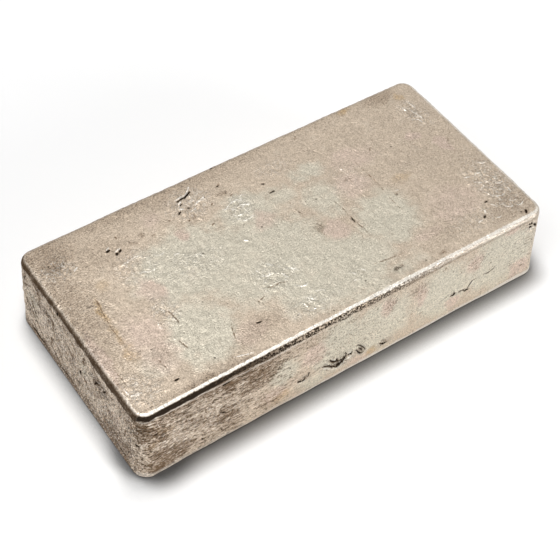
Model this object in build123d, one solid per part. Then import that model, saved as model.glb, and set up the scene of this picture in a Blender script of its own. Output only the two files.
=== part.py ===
from build123d import *

import os
from math import asin, degrees, radians, sqrt, tan

# A plain cast silver bar of one hundred troy ounces, lying on its wider face.
# Lengths are in millimetres and angles in degrees. The origin is the middle of the
# underside, X runs along the bar, Y across it and Z up.

# Outline of the underside
base_length = 147.0
base_width = 72.8
base_corner_radius = 4.8

# Height at the middle of the upper face
bar_height = 28.6

# The sides lean in towards the upper face by the slope of the mould's wall.
draft_angle = 2.2
top_corner_radius = 4.2

# The upper face is very slightly crowned, so its middle is the highest point.
crown_rise_along = 0.40
crown_rise_across = 0.20

# Rounding of the rim around the upper face and of the foot around the underside
rim_radius = 1.8
foot_radius = 1.5

# Distance by which a trimming shape runs past the metal
overrun = 6.0


def arc_radius(chord, rise):
    """Radius of the arc that stands rise above the middle of its chord."""
    return chord**2 / (8 * rise) + rise / 2


def drafted_block():
    """The block between the outline of the underside and the smaller upper one.

    It stands higher than the bar by the overrun, so that the crown trims all of it.
    """
    full_height = bar_height + overrun
    inset = full_height * tan(radians(draft_angle))
    underside = RectangleRounded(base_length, base_width, base_corner_radius)
    upper = RectangleRounded(
        base_length - 2 * inset,
        base_width - 2 * inset,
        top_corner_radius,
    )
    return loft([underside, Pos(Z=full_height) * upper], ruled=True)


def crown_section():
    """The section across the bar below the arc of the upper face."""
    radius = arc_radius(base_width, crown_rise_across)
    half_width = base_width / 2 + overrun
    shoulder = bar_height - radius + sqrt(radius**2 - half_width**2)
    crest = ThreePointArc(
        (-half_width, shoulder),
        (0, bar_height),
        (half_width, shoulder),
    )
    walls = Polyline(
        (half_width, shoulder),
        (half_width, -overrun),
        (-half_width, -overrun),
        (-half_width, shoulder),
    )
    return Plane.YZ * make_face(crest + walls)


def crown_former():
    """Everything below the crowned face: its section swung along the bar.

    The section turns about an axis that lies across the bar and far below it, at the
    centre of the arc along the bar.
    """
    radius = arc_radius(base_length, crown_rise_along)
    half_swing = degrees(asin((base_length / 2 + overrun) / radius))
    axis = Axis((0, 0, bar_height - radius), (0, 1, 0))
    start = crown_section().rotate(axis, -half_swing)
    return revolve(start, axis, 2 * half_swing)


def silver_bar():
    """The bar: the drafted block under its crown, with the rim and foot rounded."""
    bar = drafted_block() & crown_former()
    rim = bar.faces().sort_by(Axis.Z)[-1].edges()
    bar = fillet(rim, rim_radius)
    foot = bar.faces().sort_by(Axis.Z)[0].edges()
    return fillet(foot, foot_radius)


bar = silver_bar()
box = bar.bounding_box()
print("size", box.size, "volume", bar.volume, "solids", len(bar.solids()))

os.makedirs("parts", exist_ok=True)
export_step(bar, "parts/silver_bar.step")
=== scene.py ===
import math

import bpy
from bpy.props import FloatProperty, FloatVectorProperty, IntProperty, PointerProperty
from mathutils import Matrix, Vector


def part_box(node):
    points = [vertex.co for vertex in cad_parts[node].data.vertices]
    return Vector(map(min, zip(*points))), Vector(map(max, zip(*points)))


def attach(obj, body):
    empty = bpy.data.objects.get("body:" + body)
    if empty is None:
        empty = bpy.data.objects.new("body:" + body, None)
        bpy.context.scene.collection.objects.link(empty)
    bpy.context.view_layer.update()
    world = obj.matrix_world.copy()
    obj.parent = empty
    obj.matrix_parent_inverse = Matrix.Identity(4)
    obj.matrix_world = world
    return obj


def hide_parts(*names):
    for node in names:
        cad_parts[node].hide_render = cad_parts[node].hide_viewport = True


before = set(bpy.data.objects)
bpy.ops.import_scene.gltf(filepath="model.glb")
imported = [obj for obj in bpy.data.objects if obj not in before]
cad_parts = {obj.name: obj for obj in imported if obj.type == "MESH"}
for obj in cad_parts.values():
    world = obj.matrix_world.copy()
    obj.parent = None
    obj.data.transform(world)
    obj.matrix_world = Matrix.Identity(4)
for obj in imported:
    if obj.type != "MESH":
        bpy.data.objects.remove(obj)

bl_info = {
    "name": "Cast Silver Bar",
    "version": (1, 0, 0),
    "blender": (4, 5, 0),
    "location": "3D View > Sidebar > Silver Bar",
    "description": "Makes a plain cast silver bar with a tarnished, wrinkled skin on a pale studio floor",
    "category": "Add Mesh",
}

# The bar as the frame gives it, in metres. X runs along the bar, Y across it and Z up.
NODE = "silver_bar"
BAR_LOW, BAR_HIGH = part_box(NODE)
BAR_SIZE = BAR_HIGH - BAR_LOW
MM = 0.001

# A span too small to matter, which keeps a division from failing.
TINY = 1e-7

# Where the upper face turns into the sides: the start and the end of each turn, in
# millimetres along Y for the front and along X for the two ends.
FRONT_TURN = (-32.5, -33.3)
LEFT_TURN = (-69.9, -70.6)
RIGHT_TURN = (70.0, 70.7)

# The directions in which the lamps stand, seen from the bar.
LAMPS = {"key": (-2.3, 5.6, 28.0), "overhead": (-0.9, -0.1, 1.0), "front": (4.5, -8.8, 0.65)}

# Marks on the skin, measured in millimetres on the face that carries them: x and y on
# the upper face, x and z on the long front face, y and z on the left end. Each mark is
# its half width and the points that it passes through.
MARKS = {
    "Cracks": {
        "top": [
            (0.24, (-21.7, 27.5), (-20.2, 27.7), (-18.3, 28.1), (-16.7, 28.8), (-16.0, 29.3)),
            (0.36, (-18.9, 27.9), (-17.7, 28.3)), (0.24, (-23.7, 22.9), (-23.1, 23.2)),
            (0.20, (-21.4, 25.8), (-21.1, 26.0)), (0.20, (-20.1, 23.6), (-19.8, 23.4)),
            (0.20, (-7.8, 26.5), (-7.5, 26.5)), (0.22, (-5.5, 34.1), (-5.0, 34.1)),
            (0.30, (-47.4, 19.2), (-47.1, 19.4)), (0.28, (-46.1, 19.6), (-45.6, 19.9)),
            (0.30, (-49.3, 21.5), (-48.6, 21.7)), (0.28, (-57.0, -28.7), (-56.3, -28.8), (-55.6, -28.8)),
            (0.22, (-27.0, -24.4), (-25.9, -24.5)), (0.34, (66.3, -32.9), (66.7, -32.2)),
            (0.22, (53.8, -27.9), (54.3, -27.5)), (0.18, (58.2, -23.0), (58.8, -22.9)),
            (0.17, (19.6, -5.8), (19.3, -7.0), (19.2, -8.4)), (0.20, (4.3, 20.0), (4.7, 19.7)),
            (0.18, (4.4, 15.5), (5.8, 15.4)),
        ],
        "front": [
            (0.22, (-11.0, 8.6), (-9.8, 8.0), (-8.8, 7.4), (-7.9, 6.6), (-7.5, 5.9)),
            (0.22, (-8.4, 9.9), (-7.8, 9.0), (-6.9, 8.2), (-5.4, 7.8)),
            (0.32, (-7.3, 6.2), (-5.9, 5.5), (-5.7, 6.4), (-4.7, 5.9), (-3.4, 6.8), (-2.8, 7.8)),
            (0.22, (-2.8, 7.8), (-2.4, 8.6), (-2.7, 9.6)),
            (0.22, (-6.0, 9.1), (-5.5, 7.6), (-4.1, 7.3), (-3.4, 8.2)),
            (0.22, (-2.2, 8.1), (-1.0, 7.8), (-0.1, 8.5)),
            (0.20, (-19.9, 7.6), (-18.9, 7.3), (-18.1, 7.4), (-17.5, 8.0)),
            (0.18, (-16.4, 8.2), (-15.9, 9.3)),
            (0.16, (1.0, 10.1), (2.0, 9.8), (2.9, 9.0), (4.1, 7.4), (4.9, 5.8)),
            (0.18, (1.3, 8.2), (2.1, 6.6), (3.3, 5.1), (4.3, 5.2)),
            (0.14, (2.1, 8.4), (3.2, 7.1), (3.7, 5.9)), (0.24, (10.4, 4.7), (11.5, 4.1), (13.0, 3.9)),
            (0.34, (-45.2, 24.6), (-44.7, 24.6)), (0.24, (-44.7, 24.6), (-43.3, 24.7)),
            (0.22, (-53.0, 5.3), (-52.7, 4.9)), (0.22, (66.2, 24.7), (66.6, 24.5)),
            (0.24, (67.2, 24.7), (67.5, 24.2)), (0.30, (66.8, 23.0), (67.3, 22.9)),
            (0.40, (68.2, 23.6), (68.9, 23.0), (69.4, 22.4)),
            (0.22, (37.3, 9.4), (38.3, 9.3), (38.7, 9.9), (38.1, 10.5)),
            (0.16, (40.2, 9.5), (41.9, 9.4), (42.8, 8.7)), (0.28, (42.9, 8.5), (44.0, 8.4)),
            (0.13, (44.0, 8.6), (44.4, 10.0), (45.4, 11.3), (47.0, 11.7)),
            (0.13, (50.1, 11.7), (51.8, 11.3), (53.3, 11.6), (54.4, 12.5)),
            (0.13, (-72.2, 23.9), (-71.3, 23.2), (-70.0, 22.7), (-68.2, 22.7)),
            (0.11, (-72.3, 22.8), (-71.3, 22.1), (-70.0, 21.7)),
            (0.12, (-72.1, 21.8), (-70.9, 21.0), (-69.0, 20.7), (-67.8, 20.9)),
            (0.24, (-72.4, 14.8), (-72.0, 14.1)), (0.12, (-69.6, 18.7), (-67.8, 18.4), (-66.0, 18.8)),
            (0.12, (-66.4, 16.1), (-64.8, 15.9)), (0.13, (-40.5, 25.0), (-38.6, 24.3), (-37.4, 24.8)),
            (0.12, (-39.4, 22.9), (-37.6, 22.3), (-36.8, 22.8)),
            (0.12, (-35.4, 20.2), (-33.6, 19.0), (-31.8, 19.6)),
            (0.14, (-46.6, 13.3), (-45.6, 12.4), (-44.2, 11.4)),
        ],
        "left": [
            (0.30, (-2.9, 14.4), (-2.3, 12.9)), (0.20, (-28.6, 3.4), (-25.8, 2.9), (-22.4, 3.2)),
            (0.22, (3.0, 1.9), (7.0, 2.2), (12.0, 1.8)), (0.26, (20.0, 2.4), (24.0, 2.0), (27.0, 2.6)),
            (0.20, (-17.5, 21.2), (-15.6, 18.9)), (0.18, (-12.4, 19.6), (-11.2, 17.8)),
            (0.16, (29.8, 23.6), (30.6, 22.0)), (0.36, (9.9, 27.0), (10.5, 25.7)),
        ],
    },
    "Scratches": {
        "top": [
            (0.15, (-45.9, -7.4), (-45.7, -8.5), (-45.4, -10.6), (-45.6, -12.7)),
            (0.24, (-48.8, -17.8), (-48.4, -19.4), (-48.1, -21.4)),
            (0.13, (-33.4, -20.6), (-34.6, -24.0), (-35.7, -27.7)),
            (0.24, (-60.9, 7.2), (-61.2, 5.2), (-61.6, 3.0)), (0.13, (9.0, -2.4), (9.5, -3.8), (9.7, -5.2)),
            (0.11, (8.8, -6.4), (8.6, -7.8), (8.2, -9.0)),
            (0.14, (19.3, -8.4), (19.8, -10.4), (20.0, -12.6)), (0.14, (34.6, 5.8), (34.8, 3.4)),
            (0.07, (34.3, 12.5), (34.5, 8.0), (34.8, 3.0), (34.5, -3.0), (34.2, -9.0), (34.6, -12.0)),
            (0.07, (7.2, 10.5), (6.9, 7.0), (7.4, 3.5), (7.1, 0.5)),
            (0.07, (19.0, 2.0), (19.4, -2.0), (19.3, -6.0), (20.0, -12.0), (19.7, -15.0)),
            (0.07, (28.6, 9.0), (28.3, 5.5), (28.6, 2.0)),
            (0.09, (-61.0, 9.0), (-61.6, 3.0), (-62.2, -2.0), (-62.4, -6.0), (-62.0, -11.0)),
            (0.12, (-57.0, -20.5), (-56.6, -24.0)), (0.10, (-69.0, -16.0), (-68.8, -20.0), (-68.9, -24.5)),
            (0.15, (-18.2, -14.8), (-16.2, -15.6), (-13.6, -15.8), (-11.2, -16.6)),
            (0.15, (-22.4, -18.3), (-19.6, -17.3)),
            (0.10, (13.6, -24.6), (17.6, -25.2), (21.6, -25.8), (24.2, -26.0)),
            (0.17, (41.2, 13.8), (42.0, 14.7), (43.0, 14.6)), (0.14, (-33.0, 32.7), (-32.1, 33.7)),
            (0.24, (-27.8, 22.3), (-27.2, 22.2)), (0.20, (-13.4, 20.8), (-12.9, 21.2)),
            (0.20, (-6.4, 20.9), (-6.0, 21.2)), (0.20, (-22.7, 18.9), (-22.3, 19.1)),
            (0.18, (-17.7, 13.7), (-16.8, 14.1)), (0.20, (-44.4, 25.3), (-44.4, 24.6)),
        ],
        "front": [
            (0.16, (33.5, 24.6), (33.3, 23.5)),
            (0.20, (-46.7, 9.5), (-45.5, 9.1), (-44.6, 9.6), (-43.3, 9.4)),
            (0.20, (-56.6, 20.6), (-55.3, 20.2)), (0.22, (-58.0, 17.3), (-57.6, 18.0)),
            (0.22, (-51.3, 18.0), (-51.2, 17.2)), (0.24, (-66.8, 18.0), (-65.0, 17.7), (-62.7, 18.1)),
            (0.16, (24.9, 9.7), (26.0, 9.3), (27.1, 9.5)), (0.20, (65.8, 6.1), (66.9, 6.2)),
        ],
        "left": [
            (0.34, (-5.7, 22.9), (-4.6, 20.4)), (0.30, (23.0, 24.7), (20.4, 22.4)),
            (0.40, (18.0, 20.4), (16.8, 18.8)), (0.28, (13.9, 17.2), (13.2, 15.8)),
            (0.26, (11.6, 14.2), (10.9, 12.9)), (0.26, (14.0, 10.6), (16.2, 6.4)),
            (0.26, (-28.3, 16.0), (-27.0, 11.6)), (0.26, (26.7, 22.2), (31.1, 19.1)),
            (0.26, (-9.4, 2.6), (-5.0, 2.9), (-1.8, 2.2)), (0.24, (1.0, 2.4), (5.0, 2.9), (9.0, 2.3)),
            (0.30, (17.0, 3.0), (22.0, 2.4), (31.0, 2.9)),
        ],
    },
    "Wrinkles": {
        "front": [
            (0.17, (-11.2, 7.8), (-9.9, 7.2), (-9.0, 6.6), (-8.2, 5.8)),
            (0.17, (-7.8, 5.3), (-6.2, 4.7), (-4.6, 5.0), (-3.0, 5.9)),
            (0.17, (-7.2, 9.3), (-6.4, 8.6), (-5.0, 8.4)), (0.17, (-5.6, 7.0), (-4.6, 6.6), (-3.6, 7.5)),
            (0.17, (-1.9, 8.9), (-0.9, 8.6), (0.2, 9.2)), (0.17, (0.6, 9.2), (1.6, 7.6), (2.6, 6.2)),
            (0.17, (2.8, 9.6), (3.9, 8.2), (4.8, 6.9)), (0.17, (-20.0, 6.9), (-18.6, 6.6), (-17.2, 7.3)),
            (0.11, (-72.3, 23.4), (-71.2, 22.6), (-69.8, 22.2), (-68.4, 22.2)),
            (0.10, (-72.1, 22.2), (-71.0, 21.5), (-69.8, 21.2)),
            (0.20, (-7.9, 10.0), (-6.9, 9.0), (-5.7, 9.4)), (0.30, (-2.6, 6.6), (-1.4, 6.6), (-0.2, 7.2)),
            (0.18, (1.5, 7.2), (2.5, 5.4), (4.0, 4.6)), (0.18, (-10.8, 7.6), (-9.4, 6.6), (-8.4, 5.4)),
            (0.16, (-20.1, 6.8), (-18.5, 6.6), (-17.2, 7.2)), (0.20, (67.2, 21.9), (68.4, 22.3)),
            (0.18, (45.0, 10.4), (46.3, 11.0)),
        ],
        "top": [
            (0.24, (-21.7, 28.2), (-20.4, 28.4), (-18.4, 28.6), (-16.9, 29.4), (-15.4, 30.9)),
            (0.22, (-20.4, 21.8), (-19.2, 22.0), (-17.9, 22.5)),
            (0.24, (-17.7, 23.2), (-16.4, 24.1), (-15.0, 24.4), (-13.8, 24.8)),
            (0.34, (-21.5, 26.5), (-21.0, 26.7)), (0.20, (-22.8, 24.1), (-21.4, 24.0)),
            (0.20, (-22.4, 25.2), (-22.1, 25.6)), (0.20, (-9.4, 17.8), (-7.2, 18.4), (-4.4, 18.3)),
            (0.20, (-4.4, 19.3), (-3.2, 19.3), (-2.4, 18.6)),
            (0.20, (-10.0, 16.8), (-8.9, 15.8), (-7.9, 14.8)),
            (0.22, (-7.1, 15.6), (-5.8, 16.0), (-4.2, 15.2), (-3.4, 14.8)),
            (0.18, (-9.9, 13.0), (-8.0, 12.5), (-6.0, 13.1)),
            (0.20, (-9.8, 10.5), (-8.0, 10.0), (-5.2, 10.3)), (0.22, (-9.9, 11.6), (-9.2, 11.3)),
            (0.20, (-11.8, 17.4), (-10.8, 16.9), (-9.6, 17.6)), (0.24, (-12.9, 3.5), (-12.2, 2.9)),
            (0.22, (-49.1, 22.2), (-48.2, 22.6)), (0.22, (-47.6, 20.0), (-46.4, 20.4), (-45.2, 20.7)),
            (0.22, (-60.9, 20.3), (-59.6, 21.0)),
            (0.11, (-48.6, 14.3), (-46.0, 14.9), (-43.6, 15.3), (-41.6, 15.0)),
            (0.18, (-45.8, 9.4), (-44.2, 8.9), (-42.4, 8.2), (-41.0, 8.1)),
            (0.20, (-33.8, 9.7), (-32.6, 9.8), (-31.8, 9.4)),
            (0.19, (-12.9, -7.4), (-12.0, -8.6), (-10.9, -9.5)),
            (0.20, (-16.6, -10.6), (-15.0, -11.6), (-13.6, -11.6), (-12.4, -11.9)),
            (0.19, (-16.6, -8.2), (-16.2, -9.2)), (0.19, (-11.0, -12.6), (-10.6, -14.2), (-9.8, -15.6)),
            (0.19, (-10.2, -12.3), (-8.0, -12.5), (-6.6, -13.8), (-5.4, -15.2)),
            (0.20, (-10.2, -18.6), (-9.0, -20.0), (-7.6, -20.5), (-6.2, -20.2)),
            (0.22, (62.4, -12.4), (63.6, -12.2), (64.9, -12.6)),
            (0.19, (60.6, -14.4), (61.8, -15.8), (63.2, -16.2)),
            (0.20, (66.0, -18.4), (67.4, -18.9), (68.6, -18.8)),
            (0.22, (61.8, -21.4), (62.8, -22.9), (64.4, -23.4), (65.8, -23.2)),
            (0.19, (64.8, -26.0), (65.8, -27.0), (67.2, -27.0)),
            (0.17, (65.2, 26.2), (65.6, 23.6), (65.8, 21.0)),
            (0.16, (61.4, 18.0), (63.2, 17.0), (63.6, 14.8)),
            (0.19, (62.6, 18.8), (64.6, 17.8), (64.6, 15.8)), (0.22, (51.2, -28.4), (52.6, -28.3)),
            (0.19, (55.2, -26.4), (55.8, -25.6)), (0.13, (28.4, 11.9), (28.9, 11.6)),
            (0.14, (37.4, -4.4), (38.4, -4.6)), (0.18, (60.0, -19.2), (61.0, -20.2), (61.2, -21.2)),
            (0.20, (66.4, -15.6), (67.2, -16.8), (68.4, -17.0)),
            (0.20, (67.6, -21.0), (68.2, -22.4), (67.8, -23.8)),
            (0.18, (62.0, -27.0), (63.2, -28.4), (64.6, -28.6)),
            (0.20, (65.6, -28.8), (67.0, -29.4), (68.4, -28.8)),
            (0.17, (58.4, -24.0), (59.6, -25.2), (60.4, -26.8)), (0.17, (59.2, -11.6), (60.6, -12.0)),
            (0.16, (66.8, -8.0), (67.8, -9.4), (69.0, -9.8)),
            (0.17, (56.2, -29.6), (57.8, -30.2), (59.0, -29.8)),
            (0.16, (63.6, 21.4), (64.4, 19.6), (64.2, 17.6)), (0.16, (62.0, 24.0), (62.6, 22.0)),
            (0.16, (-13.6, -24.6), (-12.2, -25.6), (-11.6, -27.4)),
            (0.17, (-10.6, -24.2), (-9.2, -25.2), (-8.4, -26.8)),
            (0.16, (-12.6, -28.2), (-11.0, -29.2), (-9.0, -28.8)),
            (0.15, (-6.4, -23.8), (-4.6, -24.4), (-3.8, -25.8)),
            (0.14, (4.8, -23.4), (6.6, -24.0), (7.6, -25.4)),
            (0.14, (8.6, -23.6), (10.2, -24.6), (10.8, -26.2)), (0.14, (5.6, -26.6), (7.4, -27.2)),
            (0.14, (-50.4, -9.0), (-50.9, -10.8), (-50.2, -12.2)),
            (0.14, (-47.9, -5.2), (-47.0, -6.4), (-47.4, -7.8)),
            (0.13, (-38.4, 12.6), (-36.6, 12.0), (-35.2, 12.4)),
            (0.13, (-28.4, 6.6), (-27.0, 5.8), (-26.6, 4.4)),
            (0.15, (-70.0, -22.7), (-69.8, -26.0), (-68.4, -26.9), (-66.0, -27.4)),
            (0.13, (-39.0, -31.0), (-33.8, -32.5)),
        ],
    },
}


def a_length(name, description, default):
    """A length that a user may change, in metres."""
    return FloatProperty(name=name, description=description, default=default, unit="LENGTH")


def an_angle(name, description, degrees):
    """An angle that a user may change, given in degrees."""
    default = math.radians(degrees)
    return FloatProperty(name=name, description=description, default=default, subtype="ANGLE")


def a_number(name, description, default):
    """A plain number that a user may change."""
    return FloatProperty(name=name, description=description, default=default)


def a_colour(name, description, default):
    """A colour that a user may change."""
    return FloatVectorProperty(name=name, description=description, default=default, subtype="COLOR")


class BarShape(bpy.types.PropertyGroup):
    """The bar's own sizes."""

    length: a_length("Length", "Length of the bar over its underside", BAR_SIZE.x)
    width: a_length("Width", "Width of the bar over its underside", BAR_SIZE.y)
    height: a_length("Height", "Height at the middle of the upper face", BAR_SIZE.z)
    draft: an_angle("Draft", "Angle by which each side leans in towards the upper face", 2.2)
    base_corner: a_length("Base Corner", "Radius of the upright corners at the underside", 4.8 * MM)
    top_corner: a_length("Top Corner", "Radius of the upright corners at the upper face", 4.3 * MM)
    rim: a_length("Rim", "Rounding of the rim around the upper face", 1.8 * MM)
    foot: a_length("Foot", "Rounding of the foot around the underside", 1.5 * MM)
    crown_along: a_length("Crown Along", "Rise of the upper face between its ends", 0.4 * MM)
    crown_across: a_length("Crown Across", "Rise of the upper face between its long sides", 0.2 * MM)
    cell: a_length("Cell", "Width of one mesh cell on the open stretches of the skin", 0.55 * MM)


class BarSkin(bpy.types.PropertyGroup):
    """Colours and relief of the cast skin."""

    tan: a_colour("Tan", "Thin warm tarnish that covers most of the bar", (0.470, 0.388, 0.303))
    clean: a_colour("Clean", "Cleaner metal, grey with a little green", (0.490, 0.450, 0.366))
    pink: a_colour("Pink", "Pinkish tarnish", (0.497, 0.398, 0.328))
    ochre: a_colour("Ochre", "Yellow-brown stains", (0.40, 0.28, 0.15))
    # Also laid in the dark bands under the rim, which are partly a painted dark reflection.
    brown: a_colour("Brown", "Thick dark tarnish", (0.125, 0.076, 0.040))
    # Partly rubbed metal, and partly a painted highlight on the rim, wrinkles, creases and foot.
    bright: a_colour(
        "Bright", "Silver rubbed bright along the rim and on raised wrinkles", (0.90, 0.86, 0.79)
    )
    # Also laid in the dark bands under the rim, which are partly a painted dark reflection.
    black: a_colour("Black", "Sulphide in the depths of cracks and pits", (0.022, 0.014, 0.008))
    undulation: a_length("Undulation", "Height of the broad waves of the cast faces", 0.14 * MM)
    wrinkle: a_length("Wrinkle", "Height of the fine folds all over the skin", 0.21 * MM)
    seed: IntProperty(name="Seed", description="Seed of the skin's random patterns", default=7)


class StageLook(bpy.types.PropertyGroup):
    """The pale floor, the light and the background."""

    floor_size: a_length("Floor", "Side of the square floor", 6.0)
    floor_colour: a_colour("Floor Colour", "Colour of the floor", (1.0, 1.0, 1.0))
    # The reach of the painted contact shadow in the floor's colour.
    contact: a_length(
        "Contact Shadow", "Reach of the soft dark line where the bar meets the floor", 12.5 * MM
    )
    key: a_number("Key", "Strength of the lamp high up behind the bar", 2.24)
    key_angle: an_angle("Key Softness", "Apparent size of the lamp behind the bar", 17.0)
    overhead: a_number("Overhead", "Strength of the soft lamp straight above", 0.76)
    overhead_angle: an_angle("Overhead Softness", "Apparent size of the lamp straight above", 36.0)
    front: a_number("Front", "Strength of the low lamp in front of the long side", 2.8)
    front_angle: an_angle("Front Softness", "Apparent size of the lamp in front", 36.0)
    fill: a_number("Fill", "Strength of the even light from all around", 0.10)


class PhotoView(bpy.types.PropertyGroup):
    """The camera at the photograph's viewing angle."""

    target: FloatVectorProperty(
        name="Target",
        description="Point at the middle of the view",
        default=(-5.64 * MM, -5.45 * MM, 14.3 * MM),
        subtype="TRANSLATION",
    )
    distance: a_length("Distance", "Distance from the camera to the target", 419.0 * MM)
    heading: an_angle("Heading", "Direction in which the camera looks, turned from the Y axis", -36.79)
    elevation: an_angle("Elevation", "Angle of the camera above the floor", 50.09)
    roll: an_angle("Roll", "Tilt of the camera about its own line of sight", 3.21)
    lens: a_number("Lens", "Focal length in millimetres on a sensor 36 mm wide", 88.78)


def arithmetic(operation, turned=False):
    """A method that joins a field and another value by one node of arithmetic."""

    def joined(field, other):
        values = (other, field) if turned else (field, other)
        return field.tree.maths(operation, *values)

    return joined


class Field:
    """A number or vector that a node gives, with arithmetic that adds nodes to its tree."""

    def __init__(self, tree, socket):
        self.tree = tree
        self.socket = socket

    __add__ = arithmetic("ADD")
    __radd__ = arithmetic("ADD", turned=True)
    __sub__ = arithmetic("SUBTRACT")
    __rsub__ = arithmetic("SUBTRACT", turned=True)
    __mul__ = arithmetic("MULTIPLY")
    __rmul__ = arithmetic("MULTIPLY", turned=True)
    __truediv__ = arithmetic("DIVIDE")

    def __abs__(self):
        return self.tree.maths("ABSOLUTE", self)

    @property
    def xyz(self):
        """The three parts of a vector."""
        outputs = self.tree.add("ShaderNodeSeparateXYZ", {0: self}).outputs
        return [Field(self.tree, output) for output in outputs]


class Tree:
    """Adds nodes to a geometry or shader tree and links them."""

    def __init__(self, node_tree):
        self.node_tree = node_tree

    def add(self, kind, inputs=None, **settings):
        """A new node with these settings, and its inputs by name or number."""
        node = self.node_tree.nodes.new(kind)
        for name, value in settings.items():
            setattr(node, name, value)
        for key, value in (inputs or {}).items():
            self.plug(node.inputs[key], value)
        return node

    def plug(self, socket, value):
        """A link where the value comes from a node, and otherwise a set number."""
        if isinstance(value, Field):
            self.node_tree.links.new(value.socket, socket)
        elif isinstance(value, bpy.types.NodeSocket):
            self.node_tree.links.new(value, socket)
        else:
            socket.default_value = value

    def field(self, kind, inputs=None, output=0, **settings):
        """One output of a new node, as a field."""
        return Field(self, self.add(kind, inputs, **settings).outputs[output])

    def maths(self, operation, *values):
        """One step of arithmetic on numbers."""
        return self.field("ShaderNodeMath", dict(enumerate(values)), operation=operation)

    def vectors(self, operation, *values, output=0):
        """One step of arithmetic on vectors."""
        inputs = dict(enumerate(values))
        return self.field("ShaderNodeVectorMath", inputs, output, operation=operation)

    def scaled(self, vector, factor):
        """A vector made longer or shorter."""
        return self.field("ShaderNodeVectorMath", {0: vector, "Scale": factor}, operation="SCALE")

    def length(self, vector):
        """How long a vector is."""
        return self.vectors("LENGTH", vector, output=1)

    def join(self, x, y, z):
        """A vector from its three parts."""
        return self.field("ShaderNodeCombineXYZ", {0: x, 1: y, 2: z})

    def diagonal(self, a, b):
        """The diagonal of a rectangle with these sides, and never quite nothing."""
        return self.most(self.maths("SQRT", a * a + b * b), TINY)

    def attribute(self, name):
        """A value that the mesh keeps for each point, in a material."""
        return self.field("ShaderNodeAttribute", None, "Fac", attribute_name=name)

    def place_mm(self):
        """The place of each point in the bar's frame, in millimetres, in a material."""
        return self.scaled(self.field("ShaderNodeTexCoord", None, "Object"), 1 / MM)

    def least(self, a, b):
        """The smaller of two numbers."""
        return self.maths("MINIMUM", a, b)

    def most(self, a, b):
        """The larger of two numbers."""
        return self.maths("MAXIMUM", a, b)

    def clamp(self, value, low=0.0, high=1.0):
        """A number held between two others."""
        return self.least(self.most(value, low), high)

    def ramp(self, value, start, end, low=0.0, high=1.0):
        """A smooth step from low at start to high at end."""
        inputs = {0: value, 1: start, 2: end, 3: low, 4: high}
        return self.field("ShaderNodeMapRange", inputs, interpolation_type="SMOOTHSTEP")

    def between(self, share, first, second):
        """One vector turning into another."""
        inputs = {0: share, 4: first, 5: second}
        return self.field("ShaderNodeMix", inputs, 1, data_type="VECTOR")

    def noise(self, at, size, detail=2.0, rough=0.5, bend=0.0):
        """Noise about zero, from -0.5 to 0.5, with features of this size in units of at."""
        inputs = {
            "Vector": at,
            "Scale": 1.0 / size,
            "Detail": detail,
            "Roughness": rough,
            "Distortion": bend,
        }
        return self.field("ShaderNodeTexNoise", inputs) - 0.5

    def noise_vector(self, at, size, detail=1.0):
        """A noise vector about zero."""
        inputs = {"Vector": at, "Scale": 1.0 / size, "Detail": detail}
        colour = self.field("ShaderNodeTexNoise", inputs, output=1)
        return self.vectors("SUBTRACT", colour, (0.5, 0.5, 0.5))


def placed(name, data):
    """A new object in the scene that holds this data."""
    item = bpy.data.objects.new(name, data)
    bpy.context.scene.collection.objects.link(item)
    return item


def bare_tree(owner):
    """The emptied node tree of a material or of the world."""
    owner.use_nodes = True
    owner.node_tree.nodes.clear()
    return Tree(owner.node_tree)


def on_face(face, across, up, shape):
    """The place in the frame of a point given in millimetres on one face of the bar."""
    lean = math.tan(shape.draft)
    if face == "top":
        along_share = across * MM / (shape.length / 2)
        across_share = up * MM / (shape.width / 2)
        fall = shape.crown_along * along_share**2 + shape.crown_across * across_share**2
        return Vector((across * MM, up * MM, shape.height - fall))
    if face == "front":
        corner = shape.base_corner
        past = max(abs(across * MM) - shape.length / 2 + up * MM * lean + corner, 0.0)
        back = corner - math.sqrt(max(corner**2 - past**2, 0.0))
        return Vector((across * MM, up * MM * lean - shape.width / 2 + back, up * MM))
    return Vector((up * MM * lean - shape.length / 2, across * MM, up * MM))


def mark_lines(name, faces, shape):
    """A helper curve through the marks, whose radius is each mark's half width.

    A mark of more than two points is narrower at its tips.
    """
    tip_share = 0.4
    curve = bpy.data.curves.new(name, "CURVE")
    curve.dimensions = "3D"
    for face, marks in faces.items():
        for half_width, *points in marks:
            spline = curve.splines.new("POLY")
            spline.points.add(len(points) - 1)
            for point, (across, up) in zip(spline.points, points):
                point.co = (*on_face(face, across, up, shape), 1.0)
                point.radius = half_width * MM
            if len(points) > 2:
                spline.points[0].radius *= tip_share
                spline.points[-1].radius *= tip_share
    return placed(name, curve)


class SilverTree(Tree):
    """The geometry tree that grows the bar from a fine box."""

    def __init__(self, node_tree):
        super().__init__(node_tree)
        self.given = {}
        self.source = self.add("NodeGroupInput")

    def ask(self, name, kind):
        """Gives the tree a named input, which is then read as tree[name]."""
        self.node_tree.interface.new_socket(name, in_out="INPUT", socket_type=kind)
        self.given[name] = Field(self, self.source.outputs[name])

    def __getitem__(self, name):
        return self.given[name]

    def then(self, step, geometry, inputs=None, **settings):
        """The geometry after one more step."""
        given = {"Geometry": geometry, **(inputs or {})}
        return self.add("GeometryNode" + step, given, **settings).outputs[0]


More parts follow.
